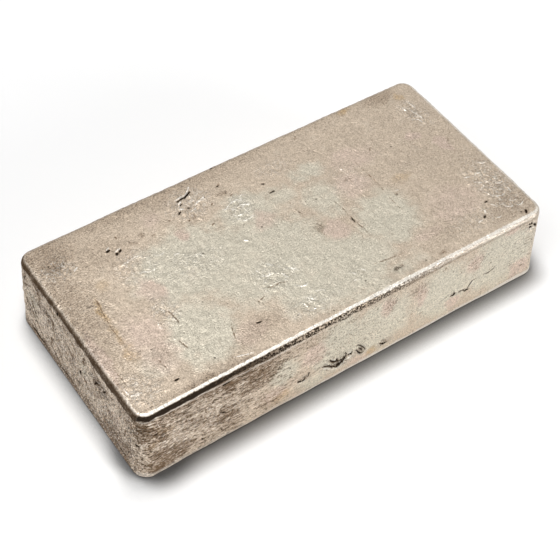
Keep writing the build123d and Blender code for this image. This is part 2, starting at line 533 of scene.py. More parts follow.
# Stains, cleaner patches and rougher ones on each face: the middle, the two half widths
# in millimetres and the strength. What each list paints is a share from nothing to one.
PATCHES = {
    "clean": {
        "top": [
            (-30, 4, 27, 19, 1.0), (-12, -5, 30, 22, 1.0), (-42, -19, 15, 16, 0.95), (-6, 13, 14, 11, 0.8),
            (2, -20, 30, 17, 0.95), (29, -12, 14, 15, 0.9), (17, 4, 9, 12, 0.7), (19, 17, 9, 6, 0.7),
            (5, 13, 9, 6, 0.6), (-58, -21, 8, 7, 0.6), (10, -30, 26, 7, 0.6),
        ],
        "front": [
            (-25, 16, 8, 9, 0.7), (-5, 15, 14, 16, 1.0), (9, 14, 18, 16, 0.9), (33, 14, 15, 16, 1.0),
            (56, 15, 20, 17, 1.0), (-14, 5, 9, 5, 0.6),
        ],
        "left": [
            (-5, 16, 5, 6, 0.6), (24, 15, 7, 8, 0.6),
        ],
    },
    "pink": {
        "top": [
            (-56, -14, 10, 17, 0.6), (-30, -26, 9, 6, 0.45), (13, -8, 6, 7, 0.75), (-3, 7, 5, 6, 0.6),
            (34, 14, 14, 7, 0.5), (28, 5, 9, 8, 0.6), (50, -18, 14, 10, 0.5), (36, -24, 8, 4, 0.5),
            (-27, 15, 3, 4, 0.8), (-46, 2, 6, 8, 0.6), (-70, -12, 2, 16, 0.8), (-32, 25, 5, 5, 0.5),
            (57, 12, 2.5, 2.5, 1.0), (63.5, 4.5, 3, 5, 1.0),
        ],
        "front": [
            (12, 21, 4, 6, 0.7), (25, 18, 4, 7, 0.7), (46, 19, 4, 6, 0.7), (60, 26, 5, 2, 0.9),
            (65, 6, 6, 5, 0.9), (38, 6, 4, 4, 0.8), (-14, 17, 6, 7, 0.8), (3, 3, 7, 3, 0.6),
            (-28, 8, 6, 6, 0.6),
        ],
        "left": [
            (20, 14, 8, 8, 0.4), (-22, 14, 6, 6, 0.4),
        ],
    },
    "ochre": {
        "top": [
            (-61.4, 4, 1.4, 7, 0.70), (-62.2, -5, 1.5, 9, 0.45), (-57, 11.5, 2.6, 2.6, 0.22),
            (-62, -15, 2.6, 4.6, 0.40), (44.5, 33, 3, 1.6, 0.5), (65, 29, 2.4, 2.6, 0.4),
            (43, -1, 5, 3, 0.3),
        ],
        "front": [
            (7, 4, 2.5, 2, 0.5), (-26, 5, 4, 3, 0.4), (-66, 18.5, 6, 1.6, 0.5), (-68, 14.5, 3, 1.5, 0.5),
        ],
    },
    "crinkled": {
        "top": [
            (-19, 25, 10, 8, 1.0), (-7, 15, 7, 7, 0.9), (-13, -13, 10, 9, 0.7), (-9, -27, 12, 6, 0.7),
            (-45, 12, 11, 9, 0.6), (-47, -7, 6, 8, 0.7), (-65, 23, 7, 7, 1.0), (-66, -27, 8, 8, 0.8),
            (-30, 4, 14, 8, 0.5), (11, 24, 8, 5, 0.6), (65, -18, 8, 16, 1.0), (64, 20, 5, 9, 0.8),
            (50, -27, 12, 6, 0.5), (28, 8, 9, 8, 0.3),
        ],
        "front": [
            (-4, 7.0, 10, 4.4, 1.0), (-18, 8, 4, 2.0, 0.8), (12, 5, 5, 3, 0.6), (36, 9.5, 9, 2.4, 0.5),
            (66, 23, 5, 4, 0.7), (-52, 13, 24, 14, 0.5), (22, 18, 20, 8, 0.25),
        ],
        "left": [
            (0, 14, 50, 20, 0.7),
        ],
    },
    "scarred": {
        "front": [
            (-6.2, 7.2, 6.2, 3.0, 0.5), (2.6, 7.2, 3.0, 3.0, 0.35), (-18.2, 8.0, 3.4, 1.5, 0.4),
            (12.2, 4.8, 3.2, 1.6, 0.35), (36.5, 9.6, 3.4, 1.6, 0.5),
        ],
        "top": [
            (-65.2, 24.6, 4.0, 3.0, 0.3), (66, -23, 7, 11, 0.26), (64, 20, 4, 7, 0.2),
            (19.4, -30.0, 2.4, 1.4, 0.7), (8.6, -4.6, 1.2, 2.4, 0.3), (-8, 23.8, 1.6, 1.2, 0.5),
        ],
        "left": [
            (17, 18.6, 3.2, 3.0, 0.6), (-14, 18.5, 5.0, 4.0, 0.6),
        ],
    },
    "brown": {
        "top": [
            (-76, 12, 22, 44, 0.30), (-30, 42, 80, 18, 0.34), (30, 40, 70, 10, 0.26), (-66, 27, 8, 9, 0.22),
            (-64.5, 24.5, 5, 3, 0.45), (64, -28, 12, 7, 0.20), (42, -25, 9, 5, 0.10), (58, 32, 9, 4, 0.34),
            (62, 0, 16, 30, 0.05), (-25.5, -26, 8, 4.5, 0.17), (-34, -28, 8, 3, 0.14),
            (-66, 30, 14, 12, 0.38), (-52, 22, 14, 9, 0.17), (-41.5, 20.9, 1.5, 0.7, 0.45),
            (-38, 21.6, 1.2, 0.8, 0.40), (-34.6, 20.6, 1.5, 0.8, 0.40), (-8, 23.7, 1.6, 1.2, 0.45),
            (-8, 26.7, 0.7, 0.6, 0.6), (-19.8, 19.4, 1.6, 2.0, 0.40), (8.6, -4.6, 1.5, 2.6, 0.36),
            (19, -30.2, 1.5, 1.0, 0.55), (21.2, -29.4, 0.8, 0.8, 0.6), (34, -32, 1.6, 1.0, 0.5),
            (27, 7.2, 0.8, 0.8, 0.6), (36.5, -5.5, 0.9, 0.7, 0.6), (66, 4.7, 0.8, 0.7, 0.6),
            (24.5, 30.5, 0.8, 0.7, 0.6), (-66.2, 25, 0.8, 0.8, 0.6), (-56, -20, 5, 4, 0.18),
        ],
        "front": [
            (-60, 14, 44, 28, 0.28), (-64, 6, 13, 8, 0.80), (-45, 25, 28, 6, 0.62), (-46, 11, 9, 6, 0.52),
            (-33, 20, 10, 7, 0.70), (-68, 18, 8, 12, 0.50), (-30, 8, 8, 6, 0.30), (-18, 23, 16, 4, 0.20),
            (12, 4.6, 4, 2, 0.35), (-4, 7, 8, 4, 0.28), (13.5, 21, 3, 5, 0.22), (-3, 14, 20, 8, 0.09),
            (24, 20.5, 4.5, 4.5, 0.28), (47, 19.5, 4, 4, 0.15), (-1, 23.4, 2.5, 1.4, 0.30),
            (62, 10, 3, 1.8, 0.18), (70, 14, 3, 14, 0.12),
        ],
        "left": [
            (0, 12, 60, 30, 0.18), (-19, 23, 6, 4, 0.45), (-10, 12, 5, 5, 0.30), (29, 9, 5, 5, 0.40),
            (0, 0.0, 60, 7.5, 0.75), (-15, 19.5, 7, 6, 0.75), (-24, 7, 18, 11, 0.62),
            (-30, 20, 10, 10, 0.45), (10, 12, 3, 3, 0.6), (17.5, 19.5, 3, 3, 0.60), (13, 14.5, 3, 4, 0.45),
            (-5, 22, 2, 3, 0.50), (5, 14, 5, 6, 0.30), (31, 22, 6, 6, 0.35),
        ],
    },
}


def bar_surface(tree, spot):
    """A point of the plain box on the rounded, leaning, crowned bar, and its rim share.

    The rim share is nothing on the upper face, grows around the rim and is one on the
    sides and the underside.
    """
    x, y, z = spot.xyz
    half_x = tree["Length"] / 2
    half_y = tree["Width"] / 2
    lean = z * tree.maths("TANGENT", tree["Draft"])
    reach_x = half_x - lean
    reach_y = half_y - lean
    x = x * (reach_x / half_x)
    y = y * (reach_y / half_y)

    # The upright corners: square rings become round ones about each corner's middle.
    corner = tree["Base Corner"] + (tree["Top Corner"] - tree["Base Corner"]) * (z / tree["Height"])
    middle_x = tree.clamp(x, corner - reach_x, reach_x - corner)
    middle_y = tree.clamp(y, corner - reach_y, reach_y - corner)
    off_x = x - middle_x
    off_y = y - middle_y
    ring = tree.most(abs(off_x), abs(off_y))
    span = tree.diagonal(off_x, off_y)
    out_x = off_x / span
    out_y = off_y / span
    inside = tree.least(reach_x - abs(x), reach_y - abs(y))

    # The rim and the foot: the same step, upright, outwards from each ring. The foot is
    # sharper towards the ends, and wanders all around.
    def rounded(radius, level):
        """How far into a rounding a point is, across and up, and the pull to its arc."""
        across = tree.clamp(radius - inside, 0.0, radius)
        up = tree.clamp(level, 0.0, radius)
        return across, up, tree.most(across, up) / tree.diagonal(across, up)

    rim_across, rim_up, rim_pull = rounded(tree["Rim"], z - tree["Height"] + tree["Rim"])
    ends = tree.ramp(abs(x), 40 * MM, 74 * MM)
    wander = tree.noise(tree.vectors("MULTIPLY", spot, (1 / MM, 1 / MM, 0.0)), 11.0, 1.0)
    foot = tree["Foot"] * (1.0 - ends * 0.55 + wander * 0.7)
    foot_across, foot_up, foot_pull = rounded(foot, foot - z)
    ring = ring + rim_across * (rim_pull - 1.0) + foot_across * (foot_pull - 1.0)
    z = z + rim_up * (rim_pull - 1.0) - foot_up * (foot_pull - 1.0)
    x = middle_x + out_x * ring
    y = middle_y + out_y * ring

    share_x = x / half_x
    share_y = y / half_y
    fall = tree["Crown Along"] * share_x * share_x + tree["Crown Across"] * share_y * share_y
    z = z * (1.0 - fall / tree["Height"])
    turned = tree.maths("ARCTAN2", rim_across, rim_up) / (math.pi / 2)
    low = tree.maths("LESS_THAN", z, tree["Height"] / 2)
    return tree.join(x, y, z), tree.most(turned, low)


def near_marks(tree, helper, place):
    """The distance from a place to the nearest mark, and that mark's half width."""
    spacing = 0.12 * MM
    info = tree.add("GeometryNodeObjectInfo", {"Object": helper})
    line = {"Curve": info.outputs["Geometry"]}
    smooth = tree.add("GeometryNodeCurveSplineType", line, spline_type="CATMULL_ROM")
    line = {"Curve": smooth.outputs[0], "Length": spacing}
    points = tree.add("GeometryNodeCurveToPoints", line, mode="LENGTH").outputs["Points"]
    asked = {0: points, "Sample Position": place}
    distance = tree.field("GeometryNodeProximity", asked, "Distance", target_element="POINTS")
    nearest = tree.field("GeometryNodeSampleNearest", {"Geometry": points, "Sample Position": place})
    radius = tree.field("GeometryNodeInputRadius")
    asked = {"Geometry": points, "Value": radius, "Index": nearest}
    return distance, tree.field("GeometryNodeSampleIndex", asked)


def patch_share(tree, place_mm, faces, shape):
    """How strongly one kind of patch shows at each point.

    Each patch reaches this deep under its face, and so a little way around the edges.
    """
    deep = 7.0
    total = None
    for face, patches in faces.items():
        for across, up, half_across, half_up, strength in patches:
            middle = on_face(face, across, up, shape) / MM
            size = {
                "top": (half_across, half_up, deep),
                "front": (half_across, deep, half_up),
                "left": (deep, half_across, half_up),
            }[face]
            offset = tree.vectors("SUBTRACT", place_mm, tuple(middle))
            share = tree.length(tree.vectors("DIVIDE", offset, size))
            painted = tree.ramp(share, 1.0, 0.35, 0.0, strength)
            total = painted if total is None else tree.most(total, painted)
    return total


def gathered_box(tree):
    """A box of fine cells whose points gather in twos, except close to the marks.

    Under the bar, where the skin is flat and hidden, they gather in eights.
    """
    past_marks = 0.6 * MM
    inside_foot = 4 * MM
    size = tree.join(tree["Length"], tree["Width"], tree["Height"])
    counts = (tree["Cells Along"], tree["Cells Across"], tree["Cells Up"])
    vertices = {"Vertices " + axis: count + 1.0 for axis, count in zip("XYZ", counts)}
    box = tree.add("GeometryNodeMeshCube", {"Size": size, **vertices})
    cell = tree.vectors("DIVIDE", size, tree.join(*counts))
    here = tree.vectors("ADD", tree.field("GeometryNodeInputPosition"), tree.scaled(size, 0.5))
    index = tree.vectors("DIVIDE", here, cell)
    centred = tree.join(tree["Length"] / -2.0, tree["Width"] / -2.0, 0.0)
    fine = tree.vectors("ADD", here, centred)

    def lattice_place(step):
        """The nearest point of a lattice that is this many fine cells wide."""
        middle = (step / 2 + 0.5,) * 3
        snapped = tree.vectors("SNAP", tree.vectors("ADD", index, middle), (step,) * 3)
        return tree.vectors("ADD", tree.vectors("MULTIPLY", snapped, cell), centred)

    place = bar_surface(tree, fine)[0]
    near = None
    for name in MARKS:
        distance, half_width = near_marks(tree, tree[name], place)
        here_near = tree.maths("LESS_THAN", distance, half_width + past_marks)
        near = here_near if near is None else tree.most(near, here_near)
    x, y, z = fine.xyz
    inside = tree.least(tree["Length"] / 2 - abs(x), tree["Width"] / 2 - abs(y))
    under = tree.maths("LESS_THAN", z, TINY) * tree.maths("GREATER_THAN", inside, inside_foot)

    target = tree.between(near, lattice_place(2.0), fine)
    target = tree.between(under, target, lattice_place(8.0))
    gathered = tree.then("SetPosition", box.outputs["Mesh"], {"Position": target})
    return tree.then("MergeByDistance", gathered, {"Distance": 0.01 * MM})


def crinkles(tree, place_mm, size, width):
    """Fine raised creases, from 0 to 1, as crumpled foil has them."""
    across = abs(tree.noise(place_mm, size, 2.0, 0.5, 0.6))
    return tree.ramp(across, width, 0.0)


def reseeded(tree, place_mm, seed, steps):
    """Places moved by so many steps as the seed says, where noise has another pattern."""
    return tree.vectors("ADD", place_mm, tree.join(*(seed * step for step in steps)))


def fold_height(tree, place_mm, wall, crinkled, seed):
    """The waves and folds all over the skin, as two heights of about one."""
    moved = reseeded(tree, place_mm, seed, (13.7, 7.1, 3.3))
    broad = tree.noise(moved, 17.0, 1.0) * 2.0
    folds = tree.noise(moved, 2.6, 2.0, 0.55, 0.8) * 2.0
    x, y, z = moved.xyz
    drawn_out = tree.join(x / 3.5, y / 3.5, z)
    rough = tree.noise(drawn_out, 1.8, 1.0) * wall
    creased = crinkles(tree, moved, 3.2, 0.05) * (0.25 + crinkled)
    return broad, folds * (0.7 + crinkled * 0.5) + rough * 1.8 + creased * 1.2


def ripples(tree, place_mm):
    """Fine ripples, from -1 to 1, that the metal froze in beside the front left corner."""
    x, y, z = place_mm.xyz
    wavelength = 1.15
    bend = tree.noise(place_mm, 6.0, 2.0)
    phase = (z * 0.95 + x * 0.24 - y * 0.30) * (math.tau / wavelength) + bend * 7.0
    region = tree.ramp(x + bend * 16.0, -60.0, -66.0) * tree.ramp(y, -27.0, -33.0)
    region = region * tree.ramp(z + bend * 10.0, 15.5, 19.0)
    return tree.maths("SINE", phase) * region


def warped(tree, place_mm):
    """Places pushed about at random, which makes the edges of the patches wander."""
    push = tree.scaled(tree.noise_vector(place_mm, 5.0, 3.0), 6.0)
    return tree.vectors("ADD", place_mm, push)


def scars(tree, warped_mm, scarred):
    """Short torn creases where the skin is scarred, as a share from 0 to 1."""
    return crinkles(tree, warped_mm, 2.4, 0.07) * scarred


def spots(tree, at, spacing, smallest, spread, core, rarity):
    """Round spots strewn at random, as a share from 0 to 1. Sizes are in units of at.

    The radius runs from the smallest up by the spread, and the core is the share of it
    that is full. Of all the cells, those whose chance is past the rarity have a spot.
    """
    cells = tree.add("ShaderNodeTexVoronoi", {"Vector": at, "Scale": 1 / spacing})
    chance, size = Field(tree, cells.outputs["Color"]).xyz[:2]
    distance = Field(tree, cells.outputs["Distance"]) * spacing
    radius = smallest + size * spread
    return tree.ramp(distance, radius, radius * core) * tree.maths("GREATER_THAN", chance, rarity)


def random_pits(tree, place_mm, seed):
    """Depth share of small gas pits, strewn all over at random."""
    moved = reseeded(tree, place_mm, seed, (5.1, 11.3, 2.9))
    return spots(tree, moved, spacing=3.4, smallest=0.18, spread=0.34, core=0.35, rarity=0.62)


def store(tree, geometry, name, value):
    """The geometry with a value of each point kept under a name."""
    kept = {"Name": name, "Value": value}
    return tree.then("StoreNamedAttribute", geometry, kept, data_type="FLOAT", domain="POINT")


def build_bar_tree(shape):
    """The whole geometry tree of the bar."""
    node_tree = bpy.data.node_groups.new("Cast Bar", "GeometryNodeTree")
    tree = SilverTree(node_tree)
    lengths = ("Length", "Width", "Height", "Base Corner", "Top Corner", "Rim", "Foot")
    for name in (*lengths, "Crown Along", "Crown Across", "Draft", "Undulation", "Wrinkle"):
        tree.ask(name, "NodeSocketFloat")
    for name in ("Cells Along", "Cells Across", "Cells Up", "Seed"):
        tree.ask(name, "NodeSocketInt")
    for name in MARKS:
        tree.ask(name, "NodeSocketObject")
    tree.ask("Material", "NodeSocketMaterial")
    node_tree.interface.new_socket("Mesh", in_out="OUTPUT", socket_type="NodeSocketGeometry")

    mesh = gathered_box(tree)
    place, rim_share = bar_surface(tree, tree.field("GeometryNodeInputPosition"))
    mesh = store(tree, mesh, "rim", rim_share)
    mesh = tree.then("SetPosition", mesh, {"Position": place})

    here = tree.field("GeometryNodeInputPosition")
    place_mm = tree.vectors("DIVIDE", here, (MM,) * 3)
    wobbly = tree.vectors("ADD", here, tree.scaled(tree.noise_vector(place_mm, 0.8), 0.35 * MM))
    broken = tree.ramp(tree.noise(place_mm, 1.1, 2.0), -0.18, 0.02)

    def mark(helper, slack):
        """How deep in a mark, how wide it is, and how far off its edge in millimetres."""
        distance, half_width = near_marks(tree, tree[helper], wobbly)
        gap = (distance - half_width) / MM + (1.0 - broken) * slack
        return tree.ramp(gap / (half_width / MM), 0.3, -0.7), half_width, tree.least(gap, 1.0)

    crack, crack_width, crack_gap = mark("Cracks", 0.03)
    scratch, scratch_width, scratch_gap = mark("Scratches", 0.16)
    ridge, ridge_width, ridge_gap = mark("Wrinkles", 0.09)

    normal = tree.field("GeometryNodeInputNormal")
    tilt = normal.xyz[2]
    wall = tree.ramp(abs(tilt), 0.7, 0.3)
    above = tree.ramp(here.xyz[2], 0.2 * MM, 2.2 * MM)
    around = warped(tree, place_mm)
    shares = {name: patch_share(tree, around, faces, shape) for name, faces in PATCHES.items()}
    broad, folds = fold_height(tree, place_mm, wall, shares["crinkled"], tree["Seed"])
    ripple = ripples(tree, place_mm) * wall
    pits = random_pits(tree, place_mm, tree["Seed"]) * above

    # The relief. A mark's depth or height is a share of its half width, and the whole
    # skin sinks by enough to stay inside the frame's bar.
    pit_depth, scar_depth, sink = 0.22 * MM, 0.34 * MM, 0.16 * MM
    crack_depth, scratch_depth, ridge_height = 1.5, 0.7, 0.9
    height = tree["Undulation"] * broad + tree["Wrinkle"] * (folds + ripple * 0.8)
    height = height - pits * pit_depth
    height = height - scars(tree, around, shares["scarred"]) * scar_depth
    height = height - crack * crack_width * crack_depth - scratch * scratch_width * scratch_depth
    height = height + ridge * ridge_width * ridge_height
    height = height * above - sink * above

    gaps = {"crack_gap": crack_gap, "scratch_gap": scratch_gap, "ridge_gap": ridge_gap}
    for name, share in {**gaps, **shares}.items():
        mesh = store(tree, mesh, name, share)
    mesh = tree.then("SetPosition", mesh, {"Offset": tree.scaled(normal, height)})
    held = tree.vectors("MINIMUM", here, tuple(BAR_HIGH))
    held = tree.vectors("MAXIMUM", held, tuple(BAR_LOW))
    mesh = tree.then("SetPosition", mesh, {"Position": held})
    mesh = tree.then("SetShadeSmooth", mesh)
    mesh = tree.then("RealizeInstances", mesh)
    mesh = tree.then("SetMaterial", mesh, {"Material": tree["Material"]})
    tree.add("NodeGroupOutput", {0: mesh})
    return node_tree


def grown_mesh(name, node_tree, values):
    """The mesh that a geometry tree gives for these named inputs, as a plain object."""
    seedling = placed(name, bpy.data.meshes.new(name))
    modifier = seedling.modifiers.new("Grow", "NODES")
    modifier.node_group = node_tree
    for item in node_tree.interface.items_tree:
        if item.in_out == "INPUT" and item.name in values:
            modifier[item.identifier] = values[item.name]
    evaluated = seedling.evaluated_get(bpy.context.evaluated_depsgraph_get())
    mesh = bpy.data.meshes.new_from_object(evaluated)
    seedling.modifiers.remove(modifier)
    seedling.data = mesh
    mesh.name = name
    return seedling


def laid_over(tree, share, under, paint):
    """A colour with a paint laid over it, as far as its share says."""
    inputs = {0: share, 6: under, 7: (*paint, 1.0)}
    return tree.field("ShaderNodeMix", inputs, 2, data_type="RGBA")


def cover(tree, name, mottle, amount):
    """How far a patch covers the skin, with its edge broken up by the mottle."""
    return tree.ramp(tree.attribute(name) + mottle * amount, 0.0, 0.85)


def build_silver(skin):
    """The tarnished silver material, from the bar's own coordinates and attributes.

    Places are in millimetres. Each ramp reads: value, start, end, and what it gives at
    the start and at the end where that isn't nothing and one.
    """
    material = bpy.data.materials.new("Tarnished Silver")
    tree = bare_tree(material)
    ramp, noise, clamp, most, share = tree.ramp, tree.noise, tree.clamp, tree.most, tree.attribute
    at = tree.place_mm()
    x, y, z = at.xyz

    # Where on the bar.
    front = ramp(y, *FRONT_TURN)
    left = ramp(x, *LEFT_TURN) * (1.0 - front)
    right = ramp(x, *RIGHT_TURN) * (1.0 - front)
    wall = ramp(share("rim"), 0.85, 1.0)
    hidden = wall * (1.0 - front) * (1.0 - left)

    # Patterns, from the finest to the broadest. Streaks run along the long sides, and
    # slant down across the ends.
    level = z + x * 0.05
    fine = noise(at, 0.40, 1.0, 0.5)
    grain = noise(at, 0.62, 3.0, 0.62)
    rows = noise(tree.join(x / 2.6, y, level), 0.42, 2.0, 0.6)
    layers = noise(tree.join(x / 5.0, y, level), 1.1, 2.0, 0.6)
    mottle = noise(at, 4.5, 4.0, 0.62)
    cloud = noise(at, 14.0, 3.0, 0.55)
    spread = noise(at, 5.0, 3.0, 0.6)
    along_side = tree.join(x / 2.6, y, level * 1.3)
    down_end = tree.join(x, (y + z) * 0.09, (y - z) * 0.40)
    drawn = noise(tree.between(most(left, right), along_side, down_end), 1.0, 2.0, 0.55)
    crease = crinkles(tree, at, 1.5, 0.05)
    hair = crinkles(tree, at, 0.9, 0.06)

    # Where the skin is busy with grain, where tarnish lies on the sides, and where it
    # lies in rows along the front. Pepper is the dark grain and salt the light.
    busy = clamp(0.55 + share("brown") * 2.0 + share("crinkled") * 0.15, 0.0, 1.4)
    worn = front * ramp(x + cloud * 20.0, -46.0, 8.0)
    grime = wall * (1.0 - worn * 0.9)
    laid = front * grime
    dots = grain + fine * 0.5
    dots = dots + (rows * 0.95 + layers * 0.6 - dots * 0.6) * laid
    pepper = ramp(dots, -0.06, -0.20) * busy
    salt = ramp(dots, 0.08, 0.24) * busy
    right_end = ramp(x + mottle * 10.0, 58.0, 65.0) * ramp(y, 4.0, -12.0, 0.3, 0.9)
    ends = ramp(x, -54.0, -64.0) + right_end

    # The marks, with sharp edges.
    crack = ramp(share("crack_gap") + grain * 0.3, 0.16, 0.0)
    crack = most(crack, random_pits(tree, at, skin.seed) * 0.7)
    crack = most(crack, scars(tree, warped(tree, at), share("scarred")))
    halo = ramp(share("crack_gap") + grain * 0.8, 0.55, 0.0) * (0.4 + share("scarred"))
    scratch = ramp(share("scratch_gap") + grain * 0.4, 0.15, -0.02)
    ridge = ramp(share("ridge_gap") + grain * 0.4, 0.13, -0.05)
    ripple = ripples(tree, at) * wall

    # The bright crest of the rim, wide in front and thin or absent elsewhere. It is partly
    # rubbed bright metal and partly a painted highlight.
    rim = share("rim") + noise(at, 1.3, 3.0) * 0.22
    crest_end = ramp(x + mottle * 20.0, -5.0, 34.0, 0.38, 0.90)
    crest_share = front * ramp(x, 30.0, -30.0, 0.66, 0.92) + right * 0.35 + 0.06
    crest_share = crest_share + left * ramp(y + mottle * 10.0, -20.0, -32.0, 0.04, 0.22)
    crest_wear_and_highlight = ramp(rim, 0.07, 0.17) * ramp(rim - crest_end, 0.10, 0.0)
    crest_wear_and_highlight = crest_wear_and_highlight * clamp(crest_share) * ramp(rim, 0.46, 0.60, 1.0, 0.5)

    # Under it in front a dark band, which breaks up into dots towards the right, and on
    # the left end a brown one. Both are partly dark tarnish and partly a painted dark
    # reflection below the rim's crest.
    ragged_z = z + mottle * 1.2
    band_foot = ragged_z - ramp(abs(x + 41.0), 10.0, 3.0) * 0.45
    band = ramp(rim, 0.44, 0.54) * ramp(band_foot, 25.6, 26.2)
    solid_band = ramp(x + mottle * 24.0, -16.0, -54.0)
    solid_band = solid_band * (1.1 + rows * 1.6 + ramp(x, -58.0, -30.0) * 5.0 * fine)
    dotted_band = ramp(x, 50.0, -6.0) * ramp(grain + fine * 0.6, 0.08, -0.04)
    front_tarnish_and_reflection = band * (front * clamp(most(solid_band, dotted_band)))
    left_tarnish_and_reflection = left * ramp(rim + ramp(y, -6.0, 14.0) * 0.06, 0.24, 0.70)
    left_tarnish_and_reflection = left_tarnish_and_reflection * ramp(z + mottle * 2.0 + ramp(y, 2.0, -14.0) * 1.5, 26.2, 26.9)
    left_tarnish_and_reflection = clamp(left_tarnish_and_reflection * (0.92 + mottle * 1.6 + grain * 2.0))

    # Painted highlights: the pale line along the foot, and a thin light line under the dark band.
    foot = front * ramp(z + mottle * 2.0, 2.3, 1.2) * ramp(x, -50.0, 20.0, 0.45, 0.8)
    under_band_highlight = front * ramp(ragged_z, 25.0, 25.4) * ramp(ragged_z, 25.9, 25.6)

    # The stains under the tarnish.
    clean = clamp(cover(tree, "clean", mottle, 1.6) + hidden * ramp(cloud, 0.0, 0.12))
    colour = laid_over(tree, clean, (*skin.tan, 1.0), skin.clean)
    colour = laid_over(tree, cover(tree, "pink", mottle, 1.2), colour, skin.pink)
    ochre = share("ochre") * (1.0 + grain * 4.0 + mottle * 3.0) + left * wall * 0.12
    colour = laid_over(tree, clamp(ochre), colour, skin.ochre)

    # The brown tarnish: patches, streaks, clouds, rows, specks and dark grain.
    low_or_right = ramp(z + mottle * 8.0, 17.0, 12.0) + ramp(x, -46.0, -34.0)
    streaks = ramp(drawn, 0.06, 0.12) * (1.0 - front * clamp(low_or_right))
    streaks = streaks * ramp(spread, -0.10, 0.08, 0.3, 1.1)
    streaks = streaks * (1.0 + left * 0.6 - hidden * 0.65)
    brown = share("brown") * (1.0 + mottle * 1.6 + grain * 2.4) + mottle * 0.12
    brown = brown + grime * (streaks * (0.9 + grain * 1.5) + spread * 0.8 - 0.06)
    brown = brown + (left + hidden) * (mottle * 0.9 + cloud * 0.5) - hidden * cloud * 0.6
    brown = brown + left * (mottle * 0.7 + ramp(z + mottle * 5.0, 5.5, 1.5) * 0.35)
    brown = brown + ramp(ripple + grain * 1.2, 0.35, 0.80) * 0.85
    lined = laid * (0.25 + share("brown"))
    brown = brown + ramp(rows, -0.03, -0.16) * (ends * 0.18 + lined * 0.8)
    brown = brown + ramp(layers + grain * 0.5, -0.02, -0.18) * lined
    specks = spots(tree, at, spacing=1.5, smallest=0.14, spread=0.16, core=0.4, rarity=0.55)
    brown = brown + specks * (0.16 + share("brown") + share("crinkled") * 0.4) * 1.2
    dark_share = 0.22 + wall * 0.26 + left * 0.44 - hidden * 0.22 + laid * 0.24
    brown = clamp(brown + pepper * dark_share, 0.0, 0.95)
    colour = laid_over(tree, brown, colour, skin.brown)

    # Lighter and darker grain, and painted light on the sides.
    coarse = (1.0 - laid * 0.6) * (1.0 + wall * 0.7 + left * wall * 0.8 - hidden)
    shade = 1.0 + (grain + fine * 1.5) * busy * coarse + mottle * 0.3
    shade = shade + rows * (ends * 0.9 + laid * 2.2) + layers * laid * 1.1
    # Painted light: the sides and underside a little lighter, the front lighter towards its foot, and
    # lighter still along its foot right of the middle.
    shade = shade + wall * 0.09 + front * ramp(z, 26.0, 2.0) * 0.12
    shade = shade + front * ramp(z, 8.0, 2.0) * ramp(x, -20.0, 5.0) * 0.09
    shaded = {"Color": colour, "Value": clamp(shade, 0.2, 1.9)}
    colour = tree.field("ShaderNodeHueSaturation", shaded)

    # Bright paint, then the bands, scratches and cracks over everything. The bright paint is
    # partly rubbed metal and light grain, and partly painted highlight: on the rim's crest,
    # along the raised wrinkles and creases, on the foot and under the dark band.
    bright = crest_wear_and_highlight * (0.92 + grain * 2.6 + mottle * 0.5) + ridge * 0.60
    bright = bright + crease * share("crinkled") * 0.40
    bright = bright + foot * ramp(x, -40.0, -10.0, 0.6, 0.95) + under_band_highlight * ramp(x, 0.0, -30.0) * 0.3
    bright = bright + salt * (wall * 0.30 + left * 0.26 - hidden * 0.22 + 0.05)
    bright = clamp(bright + ramp(rows, 0.08, 0.24) * ends * 0.2)
    for amount, paint in (
        (bright, skin.bright),
        (most(left_tarnish_and_reflection, band * 0.35), skin.brown),
        (left_tarnish_and_reflection * 0.6, skin.black),
        (front_tarnish_and_reflection, skin.black),
        (most(scratch * 0.8, halo), skin.brown),
        (crack, skin.black),
    ):
        colour = laid_over(tree, clamp(amount), colour, paint)

    # Gloss and fine relief.
    dull = clamp(crack + most(left_tarnish_and_reflection, front_tarnish_and_reflection))
    rough = 0.44 + mottle * 0.16 + brown * 0.2 - bright * 0.18 + dull * 0.4
    wavelength = 1.2
    phase = (y - x * 0.3 + mottle * 6.0 + cloud * 24.0) * (math.tau / wavelength)
    waves = tree.maths("SINE", phase)
    lumps = (grain * 0.12 + fine * 0.06) * busy - hair * 0.028
    lumps = lumps + waves * ramp(spread, -0.05, 0.15) * 0.025 + rows * ends * 0.09
    lumps = lumps + crease * (0.022 + share("crinkled") * 0.09)
    lumps = lumps * (1.0 - wall * 0.4) + drawn * grime * 0.06 + ripple * 0.07
    bump = {"Strength": 1.0, "Distance": 1.0 * MM, "Height": lumps}
    finish = {
        "Base Color": colour,
        "Metallic": 0.6 - clamp(dull * 0.6 + brown * 0.3, 0.0, 0.6),
        "Roughness": clamp(rough, 0.2, 0.9),
        "Specular IOR Level": 0.12,
        "Normal": tree.field("ShaderNodeBump", bump),
    }
    surface = tree.field("ShaderNodeBsdfPrincipled", finish)
    tree.add("ShaderNodeOutputMaterial", {"Surface": surface})
    return material


def setting_keys(group):
    """The keys of the settings that a group holds."""
    return [key for key in group.bl_rna.properties.keys() if key not in ("rna_type", "name")]


def named_settings(group):
    """The values of a group, under the names that a user sees."""
    return {group.bl_rna.properties[key].name: getattr(group, key) for key in setting_keys(group)}


def even_cells(length, cell):
    """How many fine cells, half as wide as an open one, fit a side, as whole eights."""
    return 8 * max(1, round(2 * length / cell / 8))


